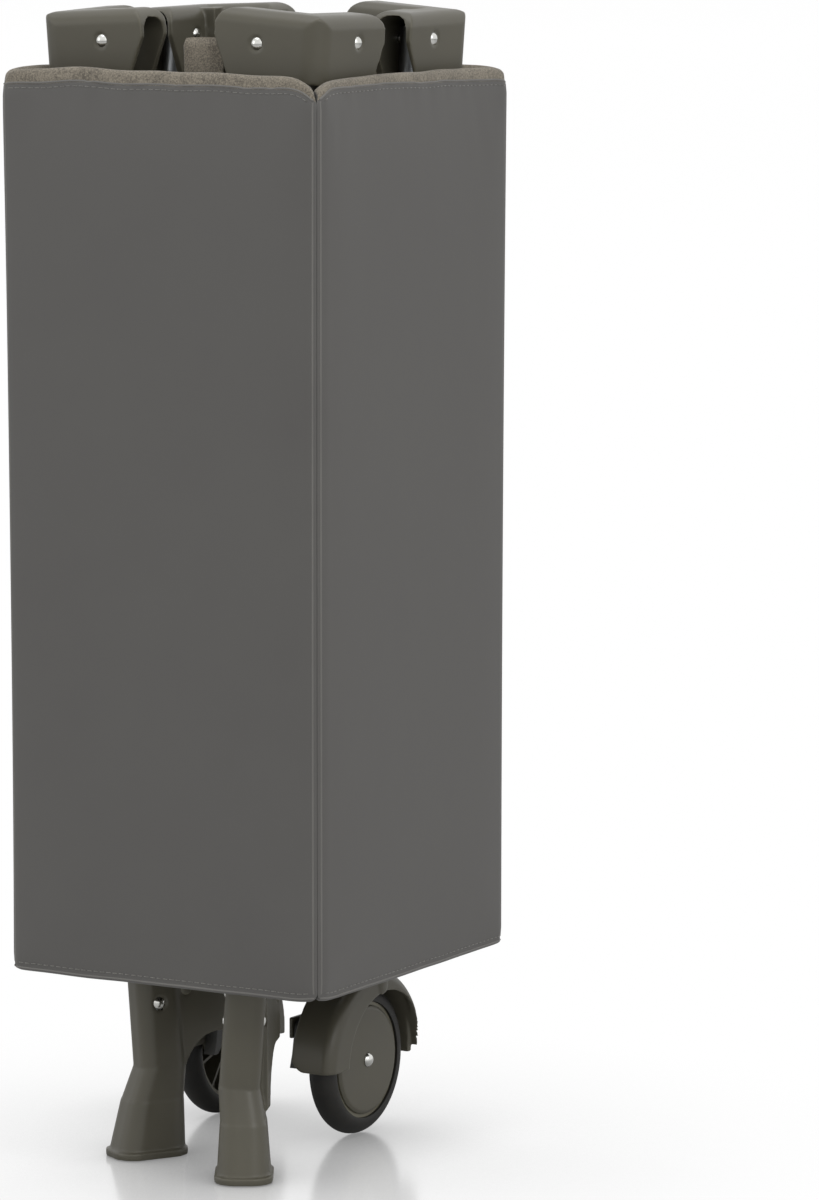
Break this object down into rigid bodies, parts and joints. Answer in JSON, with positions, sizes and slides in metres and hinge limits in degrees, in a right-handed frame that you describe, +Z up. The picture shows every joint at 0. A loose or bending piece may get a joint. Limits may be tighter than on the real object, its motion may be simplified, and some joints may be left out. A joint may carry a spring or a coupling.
{
  "type": "folding playpen",
  "caption": "Folding playpen stored upright: tube frame with moulded corner caps and feet, rear wheels, and a padded mattress wrapped round it.",
  "frame": {"origin": "on the floor, under the middle of the outline of the folded, wrapped pen", "axes": "+X to the right along the front side, +Y to the rear where the wheels are, +Z up"},
  "size_m": [0.2508, 0.277, 0.7941],
  "materials": {
    "satin_steel_tube": "satin powder coat",
    "polished_rivet": "polished",
    "olive_grey_moulding": "satin moulded",
    "dark_moulding": "matte",
    "dark_rubber": "matte",
    "webbing": "woven",
    "grey_vinyl": "matte coated fabric",
    "taupe_fabric": "heathered weave"
  },
  "bodies": {
    "front_right_post": {"post_front_right": "satin_steel_tube", "cap_front_right": "olive_grey_moulding", "rivets_front_right": "polished_rivet", "foot_front_right": "olive_grey_moulding", "foot_pad_front_right": "dark_rubber", "wall_fabric_front": "taupe_fabric", "wall_fabric_right": "taupe_fabric"},
    "front_left_post": {"post_front_left": "satin_steel_tube", "cap_front_left": "olive_grey_moulding", "rivets_front_left": "polished_rivet", "foot_front_left": "olive_grey_moulding", "foot_pad_front_left": "dark_rubber", "wall_fabric_left": "taupe_fabric"},
    "rear_right_post": {"post_rear_right": "satin_steel_tube", "cap_rear_right": "olive_grey_moulding", "rivets_rear_right": "polished_rivet", "wheel_housing_right": "olive_grey_moulding", "wall_fabric_rear": "taupe_fabric"},
    "rear_left_post": {"post_rear_left": "satin_steel_tube", "cap_rear_left": "olive_grey_moulding", "rivets_rear_left": "polished_rivet", "wheel_housing_left": "olive_grey_moulding"},
    "right_wheel": {"wheel_rim_right": "olive_grey_moulding", "wheel_cover_right": "olive_grey_moulding", "tyre_right": "dark_rubber"},
    "left_wheel": {"wheel_rim_left": "olive_grey_moulding", "wheel_cover_left": "olive_grey_moulding", "tyre_left": "dark_rubber"},
    "right_brake": {"brake_lever_right": "dark_moulding"},
    "left_brake": {"brake_lever_left": "dark_moulding"},
    "hub": {"hub_body": "olive_grey_moulding", "hub_cover": "olive_grey_moulding", "hub_pins": "polished_rivet", "pull_strap": "webbing"},
    "mattress_right_panel": {"mattress_right": "grey_vinyl"},
    "mattress_front_panel": {"mattress_front": "grey_vinyl"},
    "mattress_rear_panel": {"mattress_rear": "grey_vinyl"},
    "mattress_front_flap": {"mattress_flap_front": "grey_vinyl"},
    "mattress_rear_flap": {"mattress_flap_rear": "grey_vinyl", "mattress_straps": "webbing"},
    "base_front_left": {"base_tube_front_left": "satin_steel_tube"},
    "base_front_right": {"base_tube_front_right": "satin_steel_tube"},
    "base_rear_right": {"base_tube_rear_right": "satin_steel_tube"},
    "base_rear_left": {"base_tube_rear_left": "satin_steel_tube"},
    "rail_front_left_half": {"rail_front_left": "satin_steel_tube"},
    "rail_front_right_half": {"rail_front_right": "satin_steel_tube"},
    "rail_rear_left_half": {"rail_rear_left": "satin_steel_tube"},
    "rail_rear_right_half": {"rail_rear_right": "satin_steel_tube"},
    "rail_left_front_half": {"rail_left_front": "satin_steel_tube"},
    "rail_left_rear_half": {"rail_left_rear": "satin_steel_tube"},
    "rail_right_front_half": {"rail_right_front": "satin_steel_tube"},
    "rail_right_rear_half": {"rail_right_rear": "satin_steel_tube"},
    "lock_front_body": {"lock_front": "olive_grey_moulding"},
    "lock_front_key": {"lock_button_front": "dark_moulding"},
    "lock_rear_body": {"lock_rear": "olive_grey_moulding"},
    "lock_rear_key": {"lock_button_rear": "dark_moulding"},
    "lock_left_body": {"lock_left": "olive_grey_moulding"},
    "lock_left_key": {"lock_button_left": "dark_moulding"},
    "lock_right_body": {"lock_right": "olive_grey_moulding"},
    "lock_right_key": {"lock_button_right": "dark_moulding"}
  },
  "joints": [
    {"name": "unfold", "type": "hinge", "parent": "front_right_post", "child": "base_front_right", "pos_m": [0.02016, -0.04744, 0.116], "axis": [-0.8728, -0.488, 0], "range_deg": [0, 86], "deforming": ["mattress_right", "mattress_front", "mattress_rear", "mattress_flap_front", "mattress_flap_rear", "mattress_straps", "wall_fabric_front", "wall_fabric_rear", "wall_fabric_left", "wall_fabric_right"]},
    {"name": "hub_turn", "type": "hinge", "parent": "base_front_right", "child": "hub", "pos_m": [0.003, -0.01675, 0.61887], "axis": [0.8728, 0.488, 0], "range_deg": [0, 86]},
    {"name": "base_swing_front_left", "type": "hinge", "parent": "hub", "child": "base_front_left", "pos_m": [-0.029, -0.01675, 0.61887], "axis": [-0.8728, 0.488, 0], "range_deg": [0, 86]},
    {"name": "post_level_front_left", "type": "hinge", "parent": "base_front_left", "child": "front_left_post", "pos_m": [-0.04616, -0.04744, 0.116], "axis": [0.8728, -0.488, 0], "range_deg": [0, 86]},
    {"name": "base_swing_rear_right", "type": "hinge", "parent": "hub", "child": "base_rear_right", "pos_m": [0.003, 0.02325, 0.61887], "axis": [0.8728, -0.488, 0], "range_deg": [0, 86]},
    {"name": "post_level_rear_right", "type": "hinge", "parent": "base_rear_right", "child": "rear_right_post", "pos_m": [0.02016, 0.05394, 0.116], "axis": [-0.8728, 0.488, 0], "range_deg": [0, 86]},
    {"name": "base_swing_rear_left", "type": "hinge", "parent": "hub", "child": "base_rear_left", "pos_m": [-0.029, 0.02325, 0.61887], "axis": [0.8728, 0.488, 0], "range_deg": [0, 86]},
    {"name": "post_level_rear_left", "type": "hinge", "parent": "base_rear_left", "child": "rear_left_post", "pos_m": [-0.04616, 0.05394, 0.116], "axis": [-0.8728, -0.488, 0], "range_deg": [0, 86]},
    {"name": "rail_front_left_swing", "type": "hinge", "parent": "front_left_post", "child": "rail_front_left_half", "pos_m": [-0.0615, -0.09725, 0.77], "axis": [0, -1, 0], "range_deg": [0, 86]},
    {"name": "rail_front_right_swing", "type": "hinge", "parent": "front_right_post", "child": "rail_front_right_half", "pos_m": [0.0615, -0.09725, 0.77], "axis": [0, 1, 0], "range_deg": [0, 86]},
    {"name": "rail_rear_left_swing", "type": "hinge", "parent": "rear_left_post", "child": "rail_rear_left_half", "pos_m": [-0.0615, 0.06975, 0.77], "axis": [0, -1, 0], "range_deg": [0, 86]},
    {"name": "rail_rear_right_swing", "type": "hinge", "parent": "rear_right_post", "child": "rail_rear_right_half", "pos_m": [0.0615, 0.06975, 0.77], "axis": [0, 1, 0], "range_deg": [0, 86]},
    {"name": "rail_left_front_swing", "type": "hinge", "parent": "front_left_post", "child": "rail_left_front_half", "pos_m": [-0.0955, -0.06325, 0.77], "axis": [1, 0, 0], "range_deg": [0, 86]},
    {"name": "rail_left_rear_swing", "type": "hinge", "parent": "rear_left_post", "child": "rail_left_rear_half", "pos_m": [-0.0955, 0.03575, 0.77], "axis": [-1, 0, 0], "range_deg": [0, 86]},
    {"name": "rail_right_front_swing", "type": "hinge", "parent": "front_right_post", "child": "rail_right_front_half", "pos_m": [0.0955, -0.06325, 0.77], "axis": [1, 0, 0], "range_deg": [0, 86]},
    {"name": "rail_right_rear_swing", "type": "hinge", "parent": "rear_right_post", "child": "rail_right_rear_half", "pos_m": [0.0955, 0.03575, 0.77], "axis": [-1, 0, 0], "range_deg": [0, 86]},
    {"name": "lock_front_level", "type": "hinge", "parent": "rail_front_right_half", "child": "lock_front_body", "pos_m": [0.04434, -0.09725, 0.5246], "axis": [0, -1, 0], "range_deg": [0, 86]},
    {"name": "lock_front_press", "type": "slide", "parent": "lock_front_body", "child": "lock_front_key", "axis": [0, 0, 1], "range_m": [0, 0.004], "stiffness_N_per_m": 400},
    {"name": "lock_rear_level", "type": "hinge", "parent": "rail_rear_right_half", "child": "lock_rear_body", "pos_m": [0.04434, 0.06975, 0.5246], "axis": [0, -1, 0], "range_deg": [0, 86]},
    {"name": "lock_rear_press", "type": "slide", "parent": "lock_rear_body", "child": "lock_rear_key", "axis": [0, 0, 1], "range_m": [0, 0.004], "stiffness_N_per_m": 400},
    {"name": "lock_right_level", "type": "hinge", "parent": "rail_right_front_half", "child": "lock_right_body", "pos_m": [0.0955, -0.03256, 0.33107], "axis": [-1, 0, 0], "range_deg": [0, 86]},
    {"name": "lock_right_press", "type": "slide", "parent": "lock_right_body", "child": "lock_right_key", "axis": [0, 0, 1], "range_m": [0, 0.004], "stiffness_N_per_m": 400},
    {"name": "lock_left_level", "type": "hinge", "parent": "rail_left_front_half", "child": "lock_left_body", "pos_m": [-0.0955, -0.03256, 0.33107], "axis": [-1, 0, 0], "range_deg": [0, 86]},
    {"name": "lock_left_press", "type": "slide", "parent": "lock_left_body", "child": "lock_left_key", "axis": [0, 0, 1], "range_m": [0, 0.004], "stiffness_N_per_m": 400},
    {"name": "mattress_lie_down", "type": "hinge", "parent": "hub", "child": "mattress_right_panel", "pos_m": [0.16215, -0.01375, 0.60515], "axis": [0, 1, 0], "range_deg": [0, 90]},
    {"name": "mattress_unwrap", "type": "hinge", "parent": "mattress_right_panel", "child": "mattress_front_panel", "pos_m": [0.1216, -0.13535, 0.443], "axis": [0, 0, 1], "range_deg": [0, 90]},
    {"name": "rear_panel_turn", "type": "hinge", "parent": "mattress_right_panel", "child": "mattress_rear_panel", "pos_m": [0.1216, 0.10785, 0.443], "axis": [0, 0, -1], "range_deg": [0, 90]},
    {"name": "front_flap_turn", "type": "hinge", "parent": "mattress_front_panel", "child": "mattress_front_flap", "pos_m": [-0.1216, -0.13535, 0.443], "axis": [0, 0, 1], "range_deg": [0, 90]},
    {"name": "rear_flap_turn", "type": "hinge", "parent": "mattress_rear_panel", "child": "mattress_rear_flap", "pos_m": [-0.1216, 0.10785, 0.443], "axis": [0, 0, -1], "range_deg": [0, 90]},
    {"name": "right_wheel_spin", "type": "hinge", "parent": "rear_right_post", "child": "right_wheel", "pos_m": [0.03, 0.06425, 0.053], "axis": [1, 0, 0], "continuous": true},
    {"name": "right_brake_press", "type": "hinge", "parent": "rear_right_post", "child": "right_brake", "pos_m": [0.01, 0.02825, 0.079], "axis": [-1, 0, 0], "range_deg": [0, 25]},
    {"name": "left_wheel_spin", "type": "hinge", "parent": "rear_left_post", "child": "left_wheel", "pos_m": [-0.088, 0.07425, 0.053], "axis": [1, 0, 0], "continuous": true},
    {"name": "left_brake_press", "type": "hinge", "parent": "rear_left_post", "child": "left_brake", "pos_m": [-0.068, 0.03825, 0.079], "axis": [-1, 0, 0], "range_deg": [0, 25]}
  ],
  "couplings": [
    {"joint": "hub_turn", "follows": "unfold", "ratio": 1},
    {"joint": "base_swing_front_left", "follows": "unfold", "ratio": 1},
    {"joint": "post_level_front_left", "follows": "unfold", "ratio": 1},
    {"joint": "base_swing_rear_right", "follows": "unfold", "ratio": 1},
    {"joint": "post_level_rear_right", "follows": "unfold", "ratio": 1},
    {"joint": "base_swing_rear_left", "follows": "unfold", "ratio": 1},
    {"joint": "post_level_rear_left", "follows": "unfold", "ratio": 1},
    {"joint": "rail_front_left_swing", "follows": "unfold", "ratio": 1},
    {"joint": "rail_front_right_swing", "follows": "unfold", "ratio": 1},
    {"joint": "rail_rear_left_swing", "follows": "unfold", "ratio": 1},
    {"joint": "rail_rear_right_swing", "follows": "unfold", "ratio": 1},
    {"joint": "rail_left_front_swing", "follows": "unfold", "ratio": 1},
    {"joint": "rail_left_rear_swing", "follows": "unfold", "ratio": 1},
    {"joint": "rail_right_front_swing", "follows": "unfold", "ratio": 1},
    {"joint": "rail_right_rear_swing", "follows": "unfold", "ratio": 1},
    {"joint": "lock_front_level", "follows": "unfold", "ratio": 1},
    {"joint": "lock_rear_level", "follows": "unfold", "ratio": 1},
    {"joint": "lock_right_level", "follows": "unfold", "ratio": 1},
    {"joint": "lock_left_level", "follows": "unfold", "ratio": 1},
    {"joint": "mattress_lie_down", "follows": "unfold", "ratio": 1.0465},
    {"joint": "rear_panel_turn", "follows": "mattress_unwrap", "ratio": 1},
    {"joint": "front_flap_turn", "follows": "mattress_unwrap", "ratio": 1},
    {"joint": "rear_flap_turn", "follows": "mattress_unwrap", "ratio": 1}
  ]
}
